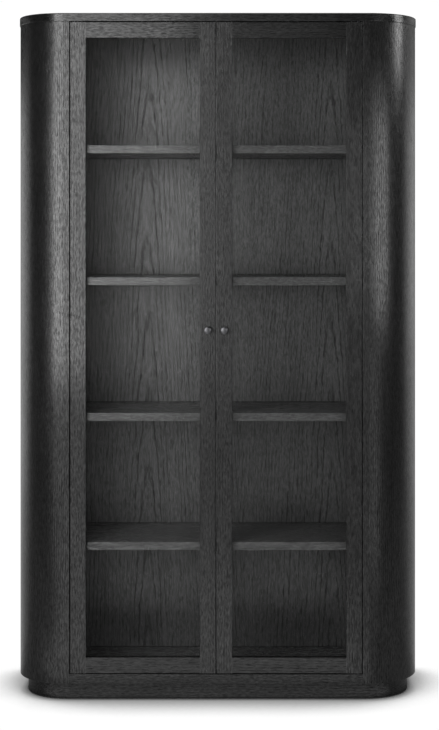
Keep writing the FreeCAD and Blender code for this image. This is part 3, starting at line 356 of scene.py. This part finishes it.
# The floor panel and the shelves are lighter in colour than the outside pieces: painted light for the fill
# light inside the cabinet.
LYING_BOARDS = {
    "top_cap": OUTSIDE_STAIN,
    "bottom_front_rail": OUTSIDE_STAIN,
    "plinth_band": OUTSIDE_STAIN,
    "plinth_back_board": OUTSIDE_STAIN,
    "floor_panel": SHELF_STAIN_AND_FILL_LIGHT,
    "bottom_shelf": SHELF_STAIN_AND_FILL_LIGHT,
    "lower_middle_shelf": SHELF_STAIN_AND_FILL_LIGHT,
    "upper_middle_shelf": SHELF_STAIN_AND_FILL_LIGHT,
    "top_shelf": SHELF_STAIN_AND_FILL_LIGHT,
}
for index, (name, stain) in enumerate(LYING_BOARDS.items()):
    # Only the cap's upward faces are made lighter in patches.
    top_lightening = 0.05 if name == "top_cap" else 0.0
    dress(name, oak(f"oak_{name}", "X", shift=41.0 + index * 2.9, stain=stain, top_lightening=top_lightening))

# The back is flat-cut veneer, duller than the solid boards, with wide rings and a strong figure. It is
# lighter in colour than the outside pieces, painted light standing in for the fill light inside the cabinet.
back_oak = oak(
    "oak_back_panel", "Z", shift=1.46, stain=BACK_STAIN_AND_FILL_LIGHT, cathedral=1.0, flecks=0.20, figure=0.46,
    rings=80.0, matt=0.10, lean=0.0,
)
dress("back_panel", back_oak)

# Everything else takes its finish from its material slot in the record.
BY_SLOT = {
    "clear_glass": clear_glass(),
    "raw_plywood": raw_wood("birch_plywood", (0.62, 0.47, 0.31), "X"),
    "beech": raw_wood("beech", (0.66, 0.47, 0.32), "Z"),
    "gunmetal": metal("gunmetal", (0.10, 0.10, 0.105), 0.34, 900.0),
    "hinge_steel": metal("black_steel", (0.06, 0.06, 0.065), 0.42, 400.0, (1.0, 14.0, 14.0)),
    "screw_steel": metal("zinc_screw", (0.52, 0.52, 0.50), 0.33, 700.0),
    "brass_insert": metal("brass", (0.72, 0.52, 0.24), 0.3, 700.0),
    "black_plastic": plastic("black_plastic", 0.02, 0.45),
    "nylon": plastic("nylon", 0.05, 0.5),
}
for sub_part in frame["record"]["subparts"]:
    if sub_part["material_slot"] in BY_SLOT:
        dress(sub_part["node"], BY_SLOT[sub_part["material_slot"]])


# The camera sees a white floor and a white background, both just blown out.
SEEN_WHITE = 1.02
FLOOR_REACH = 14.0
FLOOR_ALBEDO = 0.38
SHADOW_WIDTH = 0.34

# The camera stands in front of the cabinet, a little right of its middle, and the lights stand nearer.
EYE_HEIGHT = 1.426
EYE_RIGHT = 0.200
EYE_DISTANCE = 4.75
LIGHT_DISTANCE = 1.6


def backlight(graph, x, y):
    """Brightness of the lit background in the direction (x, y) from the cabinet: none in front and beside it,
    most behind it to the left and right, less straight behind it."""
    slant = graph.math("DIVIDE", y, graph.math("MAXIMUM", graph.math("ABSOLUTE", x), 0.0001))
    return graph.times(graph.smooth(slant, 0.0, 0.36), graph.smooth(slant, 0.7, 2.6, 1.45, 0.25))


def is_seen(graph):
    """1 for what the camera sees itself, 0 for what is seen in a reflection or lights the cabinet."""
    return graph.add("ShaderNodeLightPath").outputs["Is Camera Ray"]


def studio_floor():
    """Plain white floor. The camera sees only the soft contact shadow on it, a shadow painted into the colour
    of a glowing surface. The cabinet sees it much darker in front, as between black screens, with the same
    painted shadow near the cabinet, and glowing behind, painted light that stands in for a lit backdrop."""
    made, graph = new_material("studio_floor")
    # Painted shadow: how open the floor is near the cabinet is turned into a soft contact shadow in its
    # colour.
    open_sky = graph.openness(SHADOW_WIDTH, samples=16)
    contact = graph.smooth(open_sky, 0.315, 0.435, 0.02, 0.27)
    shadow = graph.plus(contact, graph.smooth(open_sky, 0.45, 0.82, 0.0, 0.73))
    seen_surface = graph.add("ShaderNodeEmission", {"Color": graph.colour(shadow), "Strength": SEEN_WHITE})

    # Painted light: for everything but the camera the floor glows behind the cabinet, less to the right and
    # less near it, standing in for light from a lit backdrop.
    x, y, _ = graph.split(graph.spot())
    away = graph.math("SQRT", graph.plus(graph.times(x, x), graph.times(y, y)))
    falloff = graph.times(graph.smooth(x, -1.0, 1.0, 0.80, 0.58), graph.smooth(away, 1.5, 7.0, 0.5, 1.0))
    # Painted shadow: the same shadow darkens the floor's colour where the cabinet sees it.
    dimmed = graph.times(graph.plus(0.3, graph.times(shadow, 0.7)), FLOOR_ALBEDO)
    lit_and_glowing_surface = graph.add(
        "ShaderNodeBsdfPrincipled",
        {
            "Base Color": graph.colour(dimmed),
            "Roughness": 1.0,
            "Specular IOR Level": 0.0,
            "Emission Color": WHITE,
            "Emission Strength": graph.times(backlight(graph, x, y), falloff),
        },
    )
    shaders = {0: is_seen(graph), 1: lit_and_glowing_surface.outputs[0], 2: seen_surface.outputs[0]}
    graph.surface(graph.add("ShaderNodeMixShader", shaders).outputs[0])

    mesh = bpy.data.meshes.new("studio_floor")
    signs = ((-1, -1), (1, -1), (1, 1), (-1, 1))
    corners = [(right * FLOOR_REACH, back * FLOOR_REACH, 0.0) for right, back in signs]
    mesh.from_pydata(corners, [], [(0, 1, 2, 3)])
    mesh.materials.append(made)
    floor = bpy.data.objects.new("studio_floor", mesh)
    bpy.context.scene.collection.objects.link(floor)


def studio_world():
    """White for the camera. For the cabinet: a low white horizon behind it, a dim upper part and a bright
    ceiling."""
    world = bpy.data.worlds.new("studio")
    bpy.context.scene.world = world
    world.use_nodes = True
    graph = Graph(world.node_tree)
    x, y, z = graph.split(graph.add("ShaderNodeTexCoord").outputs["Generated"])
    behind = backlight(graph, x, y)
    horizon = graph.times(behind, graph.smooth(z, 0.096, 0.084))
    upper = graph.times(behind, graph.smooth(x, -0.1, 0.3, 0.0, 0.4), graph.smooth(z, 0.6, 0.5))
    ceiling = graph.smooth(z, 0.90, 0.95, 0.0, 1.5)
    ambient = graph.plus(graph.math("MAXIMUM", horizon, upper), ceiling)
    strength = graph.blend(is_seen(graph), ambient, SEEN_WHITE)
    backdrop = graph.add("ShaderNodeBackground", {"Color": WHITE, "Strength": strength})
    graph.add("ShaderNodeOutputWorld", {"Surface": backdrop.outputs[0]})


def soft_box(name, centre, size, radiance, aim=(0, 1, 0)):
    """Rectangular soft box, size wide and high, that shines straight back unless it is aimed elsewhere."""
    width, height = size
    data = bpy.data.lights.new(name, "AREA")
    data.shape = "RECTANGLE"
    data.size = width
    data.size_y = height
    data.energy = math.pi * width * height * radiance
    made = bpy.data.objects.new(name, data)
    made.location = centre
    made.rotation_euler = Vector(aim).to_track_quat("-Z", "Y").to_euler()
    made.visible_camera = False
    bpy.context.scene.collection.objects.link(made)


def studio_lights():
    """A tall key bank to the left of the camera, weaker boxes in the middle and to the right, one high on the
    far right that catches the right-hand corner, and light that comes back from the floor."""
    wall_y = front_y - LIGHT_DISTANCE
    soft_box("key", (-1.15, wall_y, 1.47), (0.7, 1.26), 6.8)
    soft_box("key_high", (-1.05, wall_y, 2.70), (0.5, 1.2), 7.2)
    soft_box("key_soft", (-0.5, wall_y, 2.08), (0.6, 2.44), 2.8)
    soft_box("key_low", (-0.85, wall_y, 0.45), (1.3, 0.86), 0.95)
    soft_box("front", (0.1, wall_y, 1.26), (0.6, 2.48), 0.50)
    soft_box("right_soft", (0.6, wall_y, 1.50), (0.5, 0.8), 0.7)
    soft_box("right", (1.62, wall_y, 1.54), (1.4, 0.92), 3.4)
    soft_box("right_low", (1.0, wall_y, 0.51), (0.7, 0.98), 0.8)

    far_right = Vector((3.86, front_y - 0.68, 3.10))
    soft_box("right_high", far_right, (1.35, 1.6), 8.2, aim=Vector((0.56, -0.05, 2.0)) - far_right)

    above_floor = 0.003
    up = (0, 0, 1)
    soft_box("bounce", (-0.2, front_y - 1.0, above_floor), (1.4, 1.6), 0.74, aim=up)
    soft_box("bounce_near", (0.0, front_y - 0.035, above_floor), (1.2, 0.11), 0.46, aim=up)


def photo_camera():
    """A long lens that looks straight back, shifted so that it keeps verticals parallel."""
    data = bpy.data.cameras.new("camera")
    data.sensor_width = 36.0
    data.lens = 76.4
    data.shift_x = -0.0846
    data.shift_y = -0.1767
    data.clip_end = 60.0
    made = bpy.data.objects.new("camera", data)
    made.location = (EYE_RIGHT, front_y - EYE_DISTANCE, EYE_HEIGHT)
    made.rotation_euler = (math.radians(90), 0, 0)
    bpy.context.scene.collection.objects.link(made)
    bpy.context.scene.camera = made


studio_floor()
studio_world()
studio_lights()
photo_camera()
bpy.context.scene.view_settings.view_transform = "Standard"
